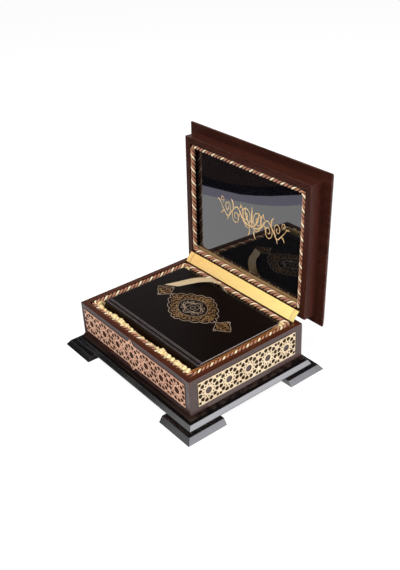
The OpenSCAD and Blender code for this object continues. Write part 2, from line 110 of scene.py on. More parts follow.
# %% Places and small helpers
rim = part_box("wall_front")[1].z
inner_left, inner_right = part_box("wall_left")[1].x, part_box("wall_right")[0].x
inner_front, inner_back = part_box("wall_front")[1].y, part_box("wall_back")[0].y
mid_y = (inner_front + inner_back) / 2
hinge = frame["joints"][0]
hinge_at = Vector(hinge["pos_m"])
swing_open = (Matrix.Translation(hinge_at) @ rotated(-hinge["range_deg"][1], "X")
              @ Matrix.Translation(-hinge_at))
LID_GAP = 3 * MM


def pick(*pieces):
    """Selects these pieces alone, the first one active, in object mode."""
    if bpy.context.mode != "OBJECT":
        bpy.ops.object.mode_set(mode="OBJECT")
    bpy.ops.object.select_all(action="DESELECT")
    for piece in pieces:
        piece.select_set(True)
    if pieces:
        bpy.context.view_layer.objects.active = pieces[0]


def edit_all(piece):
    pick(piece)
    bpy.ops.object.mode_set(mode="EDIT")
    bpy.ops.mesh.select_all(action="SELECT")


def apply_modifiers(piece):
    pick(piece)
    for modifier in list(piece.modifiers):
        bpy.ops.object.modifier_apply(modifier=modifier.name)


def smooth(piece, degrees=35):
    pick(piece)
    bpy.ops.object.shade_smooth_by_angle(angle=radians(degrees))


def dress(mesh, *materials):
    mesh.materials.clear()
    for material in materials:
        mesh.materials.append(material)


def settle(piece, body, slot, *nodes):
    """Ties a finished piece to its body and hides the nodes it stands for. Its slot is not used.
    """
    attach(piece, body)
    if nodes:
        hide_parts(*nodes)
    print(piece.name, len(piece.data.polygons), "faces on", body)


print("rim at", round(rim, 4), "hinge line at", [round(c, 4) for c in hinge_at])

# %% [markdown]
# ## Shared effects of the finishes
# Several finishes need the same effects: the fine grain that shows through lacquer, the faint
# smears on a handled surface, the pebbles of leather and the threads of satin. Each effect is
# a node group, built once. A group puts out masks and heights only, and the shader itself
# stays in each material.

# %% Node helpers
def feed(socket, value):
    """Links a socket to another one, or gives it a value. Colours are opaque."""
    if isinstance(value, bpy.types.NodeSocket):
        value.id_data.links.new(value, socket)
    else:
        socket.default_value = (*value, 1) if socket.type == "RGBA" else value


def add(tree, kind, inputs=None, **settings):
    made = tree.nodes.new("ShaderNode" + kind)
    for key, value in settings.items():
        setattr(made, key, value)
    for key, value in (inputs or {}).items():
        feed(made.inputs[key], value)
    return made


def effect(name, *outputs):
    tree = bpy.data.node_groups.new(name, "ShaderNodeTree")
    tree.interface.new_socket(name="Vector", in_out="INPUT", socket_type="NodeSocketVector")
    for label in outputs:
        tree.interface.new_socket(name=label, in_out="OUTPUT", socket_type="NodeSocketFloat")
    where = tree.nodes.new("NodeGroupInput").outputs["Vector"]
    return tree, where, tree.nodes.new("NodeGroupOutput").inputs


def noise(vector, scale, detail=3.0, rough=0.5):
    inputs = {"Vector": vector, "Scale": scale, "Detail": detail, "Roughness": rough}
    return add(vector.id_data, "TexNoise", inputs).outputs["Fac"]


def ramp(value, low, high, to_low=0.0, to_high=1.0):
    inputs = {0: value, 1: low, 2: high, 3: to_low, 4: to_high}
    return add(value.id_data, "MapRange", inputs).outputs[0]


def maths(operation, first, second):
    inputs = {0: first, 1: second}
    return add(first.id_data, "Math", inputs, operation=operation).outputs[0]


def along(tree, stretch=(1, 1, 1), source="Object"):
    """Coordinates squeezed by stretch, so that a pattern runs long in one direction."""
    inputs = {"Vector": add(tree, "TexCoord").outputs[source], "Scale": stretch}
    return add(tree, "Mapping", inputs).outputs["Vector"]


# %% Grain, smears, leather and threads
grain, where, out = effect("wood_grain", "Tone", "Height", "Rubbed")
pores, bands = noise(where, 900, 4, 0.6), noise(where, 120, 3, 0.5)
feed(out["Tone"], ramp(maths("ADD", pores, bands), 0.75, 1.25))
feed(out["Height"], pores)
feed(out["Rubbed"], ramp(bands, 0.42, 0.6))

smears, where, out = effect("handling_smears", "Smear")
feed(out["Smear"], ramp(noise(where, 26, 5, 0.62), 0.4, 0.68))

pebbles, where, out = effect("leather_pebbles", "Height", "Tone")
cells = add(pebbles, "TexVoronoi", {"Vector": where, "Scale": 1100.0}, feature="SMOOTH_F1")
creases = noise(where, 300, 4, 0.6)
feed(out["Height"], maths("ADD", cells.outputs["Distance"], creases))
feed(out["Tone"], ramp(creases, 0.35, 0.68))

threads, where, out = effect("satin_threads", "Height", "Tone")
fine = {"Vector": where, "Scale": 900.0, "Distortion": 1.5, "Detail": 2.0}
fine = add(threads, "TexWave", fine, bands_direction="Y").outputs["Fac"]
long_way = add(threads, "Mapping", {"Vector": where, "Scale": (60, 900, 60)})
slub = noise(long_way.outputs["Vector"], 1.0, 3, 0.6)
feed(out["Height"], maths("ADD", fine, slub))
feed(out["Tone"], ramp(slub, 0.3, 0.7))
print("effects:", [g.name for g in bpy.data.node_groups])

# %% [markdown]
# ## Finishes
# The wood is sprayed with a satin lacquer: nearly black on the feet and base, a dark red
# brown on the walls and lid. Its colour is mostly what it reflects, so the base colours are
# dark and the gloss does the work. Rubbed edges are a little lighter. Cloth, leather, gilding
# and glass follow, each with the detail it shows close up.

# %% Material helpers
UNEVEN = 0.06


def finish(name, roughness, metallic=0.0, specular=0.5, **sockets):
    material = bpy.data.materials.new(name)
    material.use_nodes = True
    coat = material.node_tree.nodes["Principled BSDF"].inputs
    feed(coat["Roughness"], roughness)
    feed(coat["Metallic"], metallic)
    feed(coat["Specular IOR Level"], specular)
    for key, value in sockets.items():
        feed(coat[key.replace("_", " ").title()], value)
    return material, material.node_tree, coat


def mix(mask, low, high):
    inputs = {0: mask, 6: low, 7: high}
    return add(mask.id_data, "Mix", inputs, data_type="RGBA").outputs[2]


def paint(coat, mask, low, high):
    feed(coat["Base Color"], mix(mask, low, high))


def place_effect(group, vector):
    return add(vector.id_data, "Group", {0: vector}, node_tree=group).outputs


def mark(tree, name):
    """A number stored on the mesh."""
    return add(tree, "Attribute", attribute_name=name).outputs["Fac"]


def parts(vector):
    return add(vector.id_data, "SeparateXYZ", {0: vector}).outputs


def uneven(coat, mask, low, high):
    feed(coat["Roughness"], ramp(mask, 0, 1, low, high))


def bump(coat, height, strength, distance=0.0002):
    inputs = {"Height": height, "Strength": strength, "Distance": distance}
    feed(coat["Normal"], add(height.id_data, "Bump", inputs).outputs["Normal"])


# %% Lacquers
def lacquer(name, dark, light, painted_top_colour, worn, ior, stretch, gloss):
    material, tree, coat = finish(name, 0.3)
    feed(coat["IOR"], ior)
    wood = place_effect(grain, along(tree, stretch))
    colour = mix(wood["Tone"], dark, light)
    # Painted light: faces marked top take their own colour for the light and reflections they
    # catch.
    colour = mix(mark(tree, "top"), colour, painted_top_colour)
    wear = maths("MULTIPLY", wood["Rubbed"], mark(tree, "edge"))
    paint(coat, wear, colour, worn)
    uneven(coat, place_effect(smears, along(tree))["Smear"], gloss, gloss + UNEVEN)
    bump(coat, wood["Height"], 0.12)
    return material


ALONG_X, ALONG_Y, ALONG_Z = (0.06, 1, 1), (1, 0.06, 1), (1, 1, 0.06)
# Dark and light of the grain, painted light on tops, worn edges
BLACK = ((0.002, 0.0018, 0.002), (0.005, 0.0045, 0.005), (0.003, 0.0028, 0.003),
         (0.02, 0.018, 0.02))
STAIN = ((0.004, 0.003, 0.003), (0.009, 0.006, 0.005), (0.004, 0.003, 0.003),
         (0.05, 0.03, 0.022))
BROWN = ((0.026, 0.006, 0.003), (0.047, 0.012, 0.007), (0.084, 0.019, 0.005),
         (0.10, 0.04, 0.03))
LID = ((0.030, 0.008, 0.005), (0.058, 0.016, 0.010), (0.05, 0.013, 0.008),
       (0.10, 0.04, 0.03))
black_x = lacquer("black lacquer, grain across", *BLACK, 2.1, ALONG_X, 0.16)
foot_x = lacquer("foot lacquer, grain across", *BLACK, 1.85, ALONG_X, 0.16)
stain_x = lacquer("black stain, grain across", *STAIN, 1.1, ALONG_X, 0.2)
brown_x = lacquer("brown lacquer, grain across", *BROWN, 1.6, ALONG_X, 0.2)
brown_y = lacquer("brown lacquer, grain front to back", *BROWN, 1.6, ALONG_Y, 0.2)
lid_x = lacquer("lid lacquer, grain across", *LID, 1.19, ALONG_X, 0.27)
lid_z = lacquer("lid lacquer, grain upright", *LID, 1.19, ALONG_Z, 0.27)

# %% Gilding and brass
def gilt(name, dark, light, roughness, metallic, specular=0.6):
    material, tree, coat = finish(name, roughness, metallic, specular)
    where = along(tree)
    touched = place_effect(smears, where)["Smear"]
    paint(coat, touched, dark, light)
    uneven(coat, touched, roughness + UNEVEN, roughness - UNEVEN)
    bump(coat, noise(where, 1500, 3), 0.15)
    return material


# Painted light: one gold in two copies, paler and yellower on the sides, which the right window
# lights, and pinker on the front.
side_gold_painted_light = gilt("pale gold fretwork", (0.72, 0.55, 0.35), (0.88, 0.72, 0.48), 0.42, 0.35)
front_gold_painted_light = gilt("painted_pink gold fretwork", (0.74, 0.41, 0.27), (0.92, 0.55, 0.37), 0.42, 0.35)
gold_foil = gilt("stamped gold foil", (0.30, 0.15, 0.05), (0.56, 0.32, 0.12), 0.4, 0.4)
pale_foil = gilt("rubbed pale foil", (0.42, 0.31, 0.21), (0.66, 0.50, 0.36), 0.45, 0.3)
gold_glass = gilt("gold drawn on glass", (0.86, 0.55, 0.24), (0.95, 0.68, 0.36), 0.4, 0.2)
# Dark finish for the cut sides and the sheet behind the holes: the burn of the cut and painted
# shade in the holes.
burn_and_shade_side = gilt("burnt edges of the side", (0.030, 0.016, 0.006), (0.042, 0.023, 0.008),
                  0.8, 0.0, 0.1)
burn_and_shade_front = gilt("burnt edges of the front", (0.050, 0.018, 0.010), (0.070, 0.026, 0.014),
                   0.8, 0.0, 0.1)
brass = gilt("hinge brass", (0.62, 0.42, 0.16), (0.80, 0.58, 0.26), 0.3, 1.0)

# %% [markdown]
# ## Cloth, leather, pages and glass
# Satin is bright where its threads catch the light, and its creases get a painted shade of
# deep brown, which follows a mark called crease on the cloth. Yarn gets a painted shade where
# it turns into the twist of the cord. Leather and pages get their look from small bumps, and
# the glass from what it mirrors.

# %% Satin and cord
CREASE_SHADE = (0.36, 0.24, 0.12)


def satin(name, shade, shine, roughness=0.36, far=None, way=("X", -0.12, 0.12), gloss=1.0):
    material, tree, coat = finish(name, roughness, specular=0.6 * gloss, anisotropic=0.5,
                                  sheen_weight=0.35 * gloss, sheen_roughness=0.4)
    weave = place_effect(threads, along(tree, source="UV"))
    colour = mix(weave["Tone"], shade, shine)
    # Painted light: with far given, the colour turns to it along one axis, towards the end of the
    # cloth that lies in more light.
    if far:
        axis, begins, ends = way
        colour = mix(ramp(parts(along(tree))[axis], begins, ends), colour, far)
    patches = noise(along(tree, (1, 2.5, 1), "UV"), 70, 3, 0.6)
    colour = mix(ramp(patches, 0.42, 0.72, 0.0, 0.5), colour, shine)
    # Painted shade: the crease mark darkens the colour towards deep brown.
    deep = tuple(c * k for c, k in zip(shade, CREASE_SHADE))
    paint(coat, mark(tree, "crease"), colour, deep)
    bump(coat, weave["Height"], 0.1)
    return material


gold_satin = satin("gold satin", (0.86, 0.62, 0.24), (0.98, 0.80, 0.42))
# The right lining's satin: a dark amber copy of the gold, painted shade, turning to a painted lit
# gold towards the back corner.
painted_shade_satin = satin("amber satin", (0.19, 0.062, 0.010), (0.34, 0.125, 0.028),
                    far=(0.90, 0.70, 0.36), way=("Y", 0.058, 0.070), gloss=0.25)
# The strip turns lighter and yellower towards its right end: a painted light gradient.
strip_satin = satin("strip satin", (0.80, 0.44, 0.11), (0.96, 0.64, 0.24), 0.3,
                    (0.98, 0.80, 0.28))
# A darker copy of the strip's satin, painted shade for the upright edge at the foot of the glass.
painted_shade_edge_satin = satin("satin at the foot of the glass", (0.30, 0.17, 0.06), (0.46, 0.31, 0.14),
                   gloss=0.4)
ribbon_satin = satin("ribbon satin", (0.46, 0.34, 0.19), (0.64, 0.49, 0.29), 0.4)


def yarn(name, crevice_shade, shade, shine):
    material, tree, coat = finish(name, 0.46, specular=0.4, sheen_weight=0.08,
                                  sheen_roughness=0.5)
    fibre = noise(along(tree, (40, 1.6, 1), "UV"), 6, 4, 0.6)
    lit = mix(ramp(fibre, 0.3, 0.7), shade, shine)
    # Painted shade: each yarn darkens on the side that turns into the twist.
    from_half = maths("SUBTRACT", parts(along(tree, source="UV"))["X"], 0.5)
    outside = ramp(maths("ABSOLUTE", from_half, 0), 0.28, 0.40)
    paint(coat, outside, crevice_shade, lit)
    bump(coat, fibre, 0.5, 0.0003)
    return material


brown_yarn = yarn("brown cord yarn", (0.04, 0.008, 0.003), (0.28, 0.09, 0.04), (0.74, 0.36, 0.21))
gold_yarn = yarn("gold cord yarn", (0.34, 0.13, 0.045), (0.98, 0.74, 0.44), (1.0, 0.90, 0.66))

# %% Leather, pages and glass
def leather(name, dark, light, rubbed, roughness, specular):
    material, tree, coat = finish(name, roughness, specular=specular)
    hide = place_effect(pebbles, along(tree))
    skin = mix(hide["Tone"], dark, light)
    # Edges take the rubbed colour: partly worn leather, partly a painted highlight.
    paint(coat, mark(tree, "edge"), skin, rubbed)
    uneven(coat, hide["Tone"], roughness + UNEVEN, roughness - UNEVEN)
    bump(coat, hide["Height"], 0.25, 0.0003)
    return material


cover_black = leather("cover leather", (0.003, 0.0015, 0.0013), (0.006, 0.003, 0.0026),
                      (0.34, 0.29, 0.27), 0.34, 0.08)
spine_brown = leather("spine leather", (0.004, 0.0016, 0.0007), (0.016, 0.006, 0.002),
                      (0.38, 0.35, 0.40), 0.36, 0.16)

pages, tree, coat = finish("gilt page edges", 0.4, 0.6)
sheets = noise(along(tree, (0.05, 0.05, 1)), 1800, 2, 0.6)
paint(coat, ramp(sheets, 0.35, 0.65), (0.30, 0.14, 0.03), (0.72, 0.42, 0.12))
bump(coat, sheets, 0.4, 0.0003)

glass, tree, coat = finish("dark lid glass", 0.015)
feed(coat["IOR"], 2.0)
film = place_effect(smears, along(tree))["Smear"]
paint(coat, film, (0.002, 0.002, 0.003), (0.004, 0.004, 0.005))
uneven(coat, film, 0.012, 0.03)
print("finishes:", len(bpy.data.materials))

# %% [markdown]
# ## Woodwork
# The feet, the stepped base, the walls and the lid are flat boards whose edges a sander has
# just broken. The frame already has their exact shapes, so each is copied, its loose
# triangles are merged and dissolved into whole faces, and a small bevel eases the edges. The
# bevel faces are marked in an attribute called edge, where the lacquer is rubbed thin. Faces
# that look up are marked in one called top, for a painted light, less on the rim's outer part.

# %% Eased boards
OUTER_RIM, OUTER_PAINTED_SHARE = 9 * MM, 0.15


# Share of the painted top light: full on faces that look up over the inner part of the rim, 0.15
# further out, on the rim's outer part and the base.
def painted_light_on_tops(face, place):
    if face.normal.z <= 0.8:
        return 0.0
    outer = (abs(place.x) > inner_right + OUTER_RIM
             or abs(place.y - mid_y) > inner_back - mid_y + OUTER_RIM)
    return OUTER_PAINTED_SHARE if outer else 1.0


def board(node, name, material, body, slot, ease=0.5 * MM):
    piece = put(name, frame["nodes"][node].data.copy())
    edit_all(piece)
    bpy.ops.mesh.customdata_custom_splitnormals_clear()
    bpy.ops.mesh.remove_doubles(threshold=1e-6)
    bpy.ops.mesh.dissolve_limited(angle_limit=radians(0.5))
    pick()
    mesh = piece.data
    dress(mesh, None, None)
    soften = piece.modifiers.new("eased edges", "BEVEL")
    soften.width, soften.segments, soften.material = ease, 2, 1
    soften.limit_method, soften.angle_limit = "ANGLE", radians(25)
    apply_modifiers(piece)
    edge = mesh.attributes.new("edge", "FLOAT", "FACE")
    edge.data.foreach_set("value", [float(f.material_index) for f in mesh.polygons])
    top = mesh.attributes.new("top", "FLOAT", "CORNER")
    for face in mesh.polygons:
        for corner in face.loop_indices:
            place = mesh.vertices[mesh.loops[corner].vertex_index].co
            top.data[corner].value = painted_light_on_tops(face, place)
    dress(mesh, material)
    smooth(piece)
    piece.modifiers.new("flat faces", "WEIGHTED_NORMAL").keep_sharp = True
    apply_modifiers(piece)
    settle(piece, body, slot, node)
    return piece


for corner in ("front_left", "front_right", "back_left", "back_right"):
    board("foot_" + corner, "foot_wood_" + corner, foot_x, "box", "black_lacquer", 0.6 * MM)
board("plinth", "plinth_wood", black_x, "box", "black_lacquer")
board("base_moulding", "moulding_wood", stain_x, "box", "black_lacquer", 0.7 * MM)
for side in ("front", "back", "left", "right"):
    lacquered = brown_x if side in ("front", "back") else brown_y
    board("wall_" + side, "wall_wood_" + side, lacquered, "box", "brown_lacquer")
for side in ("front", "back", "left", "right"):
    lacquered = lid_x if side in ("front", "back") else lid_z
    board("lid_rail_" + side, "lid_rail_wood_" + side, lacquered, "lid", "lid_lacquer")
board("lid_board", "lid_board_wood", lid_x, "lid", "lid_lacquer", 0.7 * MM)
board("lid_backing", "lid_backing_wood", lid_x, "lid", "backing_board", 0.3 * MM)

# %% [markdown]
# ## Pierced fretwork
# Three thin gilt panels carry rows of rosettes: an open eye, twelve small buds and twelve
# petals, with little kites in the corners. Cutting hundreds of holes with booleans is slow
# and rough. A flat filled curve does it at once: the outer outline and every hole are closed
# lines, the curve is given its thickness, and its own bevel rounds every cut edge. The cut
# sides are dark, partly burnt by the cutting and partly painted shade in the holes, and a thin
# dark sheet behind the small holes is painted shade.

# %% Outlines of the holes, in millimetres
EYE, EYE_POINTS = 5.4, 32
BUD, PETAL = (8.2, 9.9, 11.6, 1.4), (11.3, 13.8, 17.1, 18.9, 2.9, 3.7)
CORNER_KITE = (19.5, 22.4, 25.3, 3.4)
FRET_T, SHADE_SHEET_T, FRET_H, DIAMOND = 0.8, 0.2, 40.2, 28.2
PETALS, LEAST_HOLE = 12, 0.4


def turned_points(points, degrees):
    c, s = cos(radians(degrees)), sin(radians(degrees))
    return [(x * c - y * s, x * s + y * c) for x, y in points]


def kite(near, wide, far, half):
    return [(near, 0), (wide, half), (far, 0), (wide, -half)]


def quarters(points, start=0):
    return [turned_points(points, quarter * 90 + start) for quarter in range(4)]


def rosette():
    near, low, high, far, half, tip = PETAL
    petal = [(near, 0), (low, half), (high, tip), (far, 0), (high, -tip), (low, -half)]
    angles = np.linspace(0, 2 * pi, EYE_POINTS, endpoint=False)
    holes = [[(EYE * cos(a), EYE * sin(a)) for a in angles]]
    for i in range(PETALS):
        holes.append(turned_points(kite(*BUD), i * 360 / PETALS))
        holes.append(turned_points(petal, (i + 0.5) * 360 / PETALS))
    return holes


def outside_diamond(hole):
    """The part of a hole outside the square that stands on its corner."""
    sx = 1 if sum(x for x, _ in hole) > 0 else -1
    sy = 1 if sum(y for _, y in hole) > 0 else -1
    over = [x * sx + y * sy - DIAMOND for x, y in hole]
    kept = []
    for i, (p, d) in enumerate(zip(hole, over)):
        q, e = hole[i - 1], over[i - 1]
        if d * e < 0:
            k = e / (e - d)
            kept.append((q[0] + (p[0] - q[0]) * k, q[1] + (p[1] - q[1]) * k))
        if d >= 0:
            kept.append(p)
    turns = zip(kept, kept[1:] + kept[:1])
    area = abs(sum(p[0] * q[1] - q[0] * p[1] for p, q in turns)) / 2
    return kept if area > LEAST_HOLE else None


def band(length, count, diamond=False):
    half, pitch = FRET_H / 2, length / count
    holes = []
    for i in range(count):
        shift = (i - (count - 1) / 2) * pitch
        cell = rosette() + quarters(kite(*CORNER_KITE), 45)
        holes += [[(x + shift, y) for x, y in hole] for hole in cell]
    end = length / 2
    outline = [(-end, -half), (end, -half), (end, half), (-end, half)]
    if diamond:
        holes = [h for h in map(outside_diamond, holes) if h] + rosette()
        holes += quarters(kite(DIAMOND - 9.1, DIAMOND - 4.9, DIAMOND - 2.7, 1.9))
        notch = DIAMOND - half
        outline[1:1] = [(-notch, -half), (0, -DIAMOND), (notch, -half)]
        outline[-1:-1] = [(notch, half), (0, DIAMOND), (-notch, half)]
    return [outline] + holes


# %% Fretwork panels
ROUNDING, ASKEW = 0.08, 13.7


def as_mesh(name, curve):
    pick(put(name, curve))
    bpy.ops.object.convert(target="MESH")
    return bpy.context.object


def filled(outlines, thickness):
    """The fill can trip over points that lie in line, so it is drawn askew and turned back."""
    curve = bpy.data.curves.new("fretwork", "CURVE")
    curve.dimensions, curve.fill_mode = "2D", "BOTH"
    curve.extrude, curve.bevel_depth = (thickness / 2 - ROUNDING) * MM, ROUNDING * MM
    curve.bevel_resolution, curve.offset = 1, -ROUNDING * MM
    for outline in outlines:
        line = curve.splines.new("POLY")
        line.points.add(len(outline) - 1)
        for point, (x, y) in zip(line.points, turned_points(outline, ASKEW)):
            point.co = (x * MM, y * MM, 0, 1)
        line.use_cyclic_u = True
    piece = as_mesh("fretwork", curve)
    piece.data.transform(rotated(-ASKEW, "Z"))
    area = sum(f.area for f in piece.data.polygons if f.normal.z > 0.99) / MM ** 2
    print(len(outlines) - 1, "holes leave", round(area), "square millimetres")
    return piece


def fret(side, outlines, backing, turn, gold, burn_and_shade):
    piece, sheet = filled(outlines, FRET_T - SHADE_SHEET_T), filled(backing, SHADE_SHEET_T)
    for one, lift in ((piece, SHADE_SHEET_T / 2), (sheet, (SHADE_SHEET_T - FRET_T) / 2)):
        one.data.transform(Matrix.Translation((0, 0, lift * MM)))
        dress(one.data, gold, burn_and_shade)
        # The cut sides and the whole sheet behind take the dark finish, which paints the shade in
        # the holes.
        for polygon in one.data.polygons:
            polygon.material_index = int(one == sheet or abs(polygon.normal.z) < 0.3)
    pick(piece, sheet)
    bpy.ops.object.join()
    piece.name = "fret_gold_" + side
    low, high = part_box("fret_" + side)
    piece.data.transform(Matrix.Translation((low + high) / 2) @ turn)
    edit_all(piece)
    bpy.ops.mesh.remove_doubles(threshold=2e-6)
    bpy.ops.mesh.normals_make_consistent(inside=False)
    smooth(piece, 40)
    settle(piece, "box", "gold_fret", "fret_" + side)


def span(node):
    low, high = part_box(node)
    return (high - low) / MM


upright_x, to_right, to_left = rotated(90, "X"), rotated(90, "Z"), rotated(-90, "Z")
front_holes = band(span("fret_front").x, 7, True)
side_holes = band(span("fret_right").y, 5)
# On the sides the sheet of painted shade leaves out the eyes, so they show the wall.
side_shade_sheet = side_holes[:1] + [hole for hole in side_holes if len(hole) == EYE_POINTS]
fret("front", front_holes, front_holes[:1], upright_x, front_gold_painted_light, burn_and_shade_front)
fret("right", side_holes, side_shade_sheet, to_right @ upright_x, side_gold_painted_light, burn_and_shade_side)
fret("left", side_holes, side_shade_sheet, to_left @ upright_x, side_gold_painted_light, burn_and_shade_side)

# %% [markdown]
# ## Twisted cord
# The trim round the box and round the lid is a furnishing cord of three yarns laid together,
# two brown and one gold, so the bright yarn comes round every 22 mm. Each yarn is a tube swept
# along a helix that follows the rounded rectangle of the cord's middle line. The whole number
# of turns makes the yarns meet where the loop closes.

# %% Cord loops
CORD_D, CORD_PROUD, CORD_CORNER, LAY = 7.5 * MM, 0.1 * MM, 7 * MM, 22.2 * MM
BOX_BITE, LID_BITE, CORD_FREE = 2.4 * MM, 1.4 * MM, 0.05 * MM
YARN_R, YARN_OUT = 1.74 * MM, 2.01 * MM
STEPS, SIDES = 18, 12


def cord_path(bite):
    """The length of a cord's middle line, and a function for the place and way out along it."""
    room = bite - CORD_D / 2 - CORD_FREE - CORD_CORNER
    w, d, arc = inner_right + room, (inner_back - inner_front) / 2 + room, CORD_CORNER * pi / 2
    legs = [w, arc, 2 * d, arc, 2 * w, arc, 2 * d, arc, w]
    turns = [c for c in ((w, -d), (w, d), (-w, d), (-w, -d)) for _ in range(2)]
    centres = [(0, -d), *turns]

    def point(s):
        for i, leg in enumerate(legs):
            if s <= leg or i == len(legs) - 1:
                break
            s -= leg
        turned, run = (s / CORD_CORNER, 0) if i % 2 else (0, s)
        facing = (i // 2 - 1) * pi / 2 + turned
        outward = Vector((cos(facing), sin(facing), 0))
        ahead = Vector((-outward.y, outward.x, 0))
        return Vector((*centres[i], 0)) + outward * CORD_CORNER + ahead * run, outward

    return sum(legs), point


def yarn_tube(path, index):
    length, point = path
    turns = round(length / LAY)
    count = turns * STEPS
    centre, spread = [], []
    for i in range(count):
        place, outward = point(length * i / count)
        angle = 2 * pi * (turns * i / count + index / 3)
        ray = outward * cos(angle) + Vector((0, 0, 1)) * sin(angle)
        centre.append(place + ray * YARN_OUT)
        spread.append(ray)
    verts, faces, uvs = [], [], []
    for i in range(count):
        ahead = (centre[(i + 1) % count] - centre[i - 1]).normalized()
        first = (spread[i] - ahead * spread[i].dot(ahead)).normalized()
        second = ahead.cross(first)
        for k in range(SIDES):
            a = 2 * pi * k / SIDES
            verts.append(centre[i] + (first * cos(a) + second * sin(a)) * YARN_R)
            corners = ((i, k), (i, k + 1), (i + 1, k + 1), (i + 1, k))
            faces.append([j % count * SIDES + n % SIDES for j, n in corners])
            uvs += [c for j, n in corners for c in (n / SIDES, j / STEPS)]
    mesh = bpy.data.meshes.new("yarn")
    mesh.from_pydata(verts, [], faces)
    mesh.uv_layers.new(name="UVMap").data.foreach_set("uv", uvs)
    mesh.materials.append(gold_yarn if index == 0 else brown_yarn)
    return put("yarn", mesh)


def cord_loop(body, bite, height, swing):
    path = cord_path(bite)
    pick(*(yarn_tube(path, i) for i in range(3)))
    bpy.ops.object.join()
    cord = bpy.context.object
    cord.name = body + "_cord_twist"
    cord.data.transform(swing @ Matrix.Translation((0, mid_y, height)))
    bpy.ops.object.shade_smooth()
    settle(cord, body, "twisted_cord", body + "_cord")
    print("cord", round(path[0], 3), "m long,", round(path[0] / LAY), "turns")


cord_loop("box", BOX_BITE, rim + CORD_PROUD - CORD_D / 2, Matrix())
cord_loop("lid", LID_BITE, rim + LID_GAP - CORD_PROUD + CORD_D / 2, swing_open)

# %% [markdown]
# ## Satin lining
# Gathered satin hangs from the cord down to the floor pad on all four sides: gold, and on the
# right wall a darker amber copy painted for the shade there. Along the front it puffs up over
# the cord. Cloth can be simulated, but a grid shaped in code comes out the same each time: a
# curve gives the section, rounded puffs with creases between them the gathers, and small waves
# the wrinkles. The creases and the lower cloth get a painted shade.
# The cut size is measured from the shaped cloth. The lid presses the front puffs down as it
# shuts.

# %% Cloth grid
MEASURES = 200


def cloth(name, place, across, down, thickness, material, depth=lambda u, v: 0.0):
    """A grid whose (u, v), from 0 to 1, goes to place(u, v), with depth(u, v) as its crease mark,
    a painted shade.
    """
    pick()
    bpy.ops.mesh.primitive_grid_add(x_subdivisions=across, y_subdivisions=down, size=1)
    piece = bpy.context.object
    piece.name = name
    crease = piece.data.attributes.new("crease", "FLOAT", "POINT")
    for vertex in piece.data.vertices:
        u, v = vertex.co.x + 0.5, vertex.co.y + 0.5
        vertex.co = place(u, v)
        crease.data[vertex.index].value = depth(u, v)
    line = [place(0.5, k / MEASURES) for k in range(MEASURES + 1)]
    width = sum((b - a).length for a, b in zip(line, line[1:]))
    length = sum(f.area for f in piece.data.polygons) / width
    for corner in piece.data.uv_layers.active.data:
        corner.uv = (corner.uv.x * length, corner.uv.y * width)
    thicken = piece.modifiers.new("cloth thickness", "SOLIDIFY")
    thicken.thickness, thicken.offset = thickness, 0
    apply_modifiers(piece)
    edit_all(piece)
    bpy.ops.mesh.normals_make_consistent(inside=False)
    pick()
    piece.data.materials.append(material)
    smooth(piece, 60)
    print(name, "cut", round(width, 4), "by", round(length, 4))
    return piece, (width, length)


def spline(points, t):
    """A smooth curve through points, at t from 0 to 1."""
    last = len(points) - 1
    i = min(int(t * last), last - 1)
    k = t * last - i
    near = (min(max(j, 0), last) for j in range(i - 1, i + 3))
    a, b, c, d = (np.array(points[j], float) for j in near)
    return 0.5 * (2 * b + (c - a) * k + (2 * a - 5 * b + 4 * c - d) * k * k
                  + (3 * b - a - 3 * c + d) * k ** 3)


def puffs(x, lumps, join):
    """Height of the gathers at x: the lump's own between two creases, a share of it in one."""
    middles, heights = [(a + b) / 2 for a, b, _ in lumps], [height for _, _, height in lumps]
    low = join * np.interp(x, middles, heights)
    for a, b, height in lumps:
        if a <= x <= b:
            k = 2 * (x - a) / (b - a) - 1
            return low + (height - low) * max(0.0, 1 - k * k) ** 0.9
    return low


# %% Linings, in millimetres
RIM, FLOOR_Z = rim / MM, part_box("floor_pad")[1].z / MM
FLOOR, CORNER_ROOM = FLOOR_Z - RIM, 12
WIDE, DEEP = (inner_right - inner_left) / MM, (inner_back - inner_front) / MM
CLOTH_STEP, CLOTH_ROWS, CLOTH_T = 0.8, 40, 0.35 * MM
SLANT, RIPPLE, FOLD_OUT, FOLD_UP = 3.0, 0.18, 0.9, 1.9
NO_REACH = ((0,), (0,))


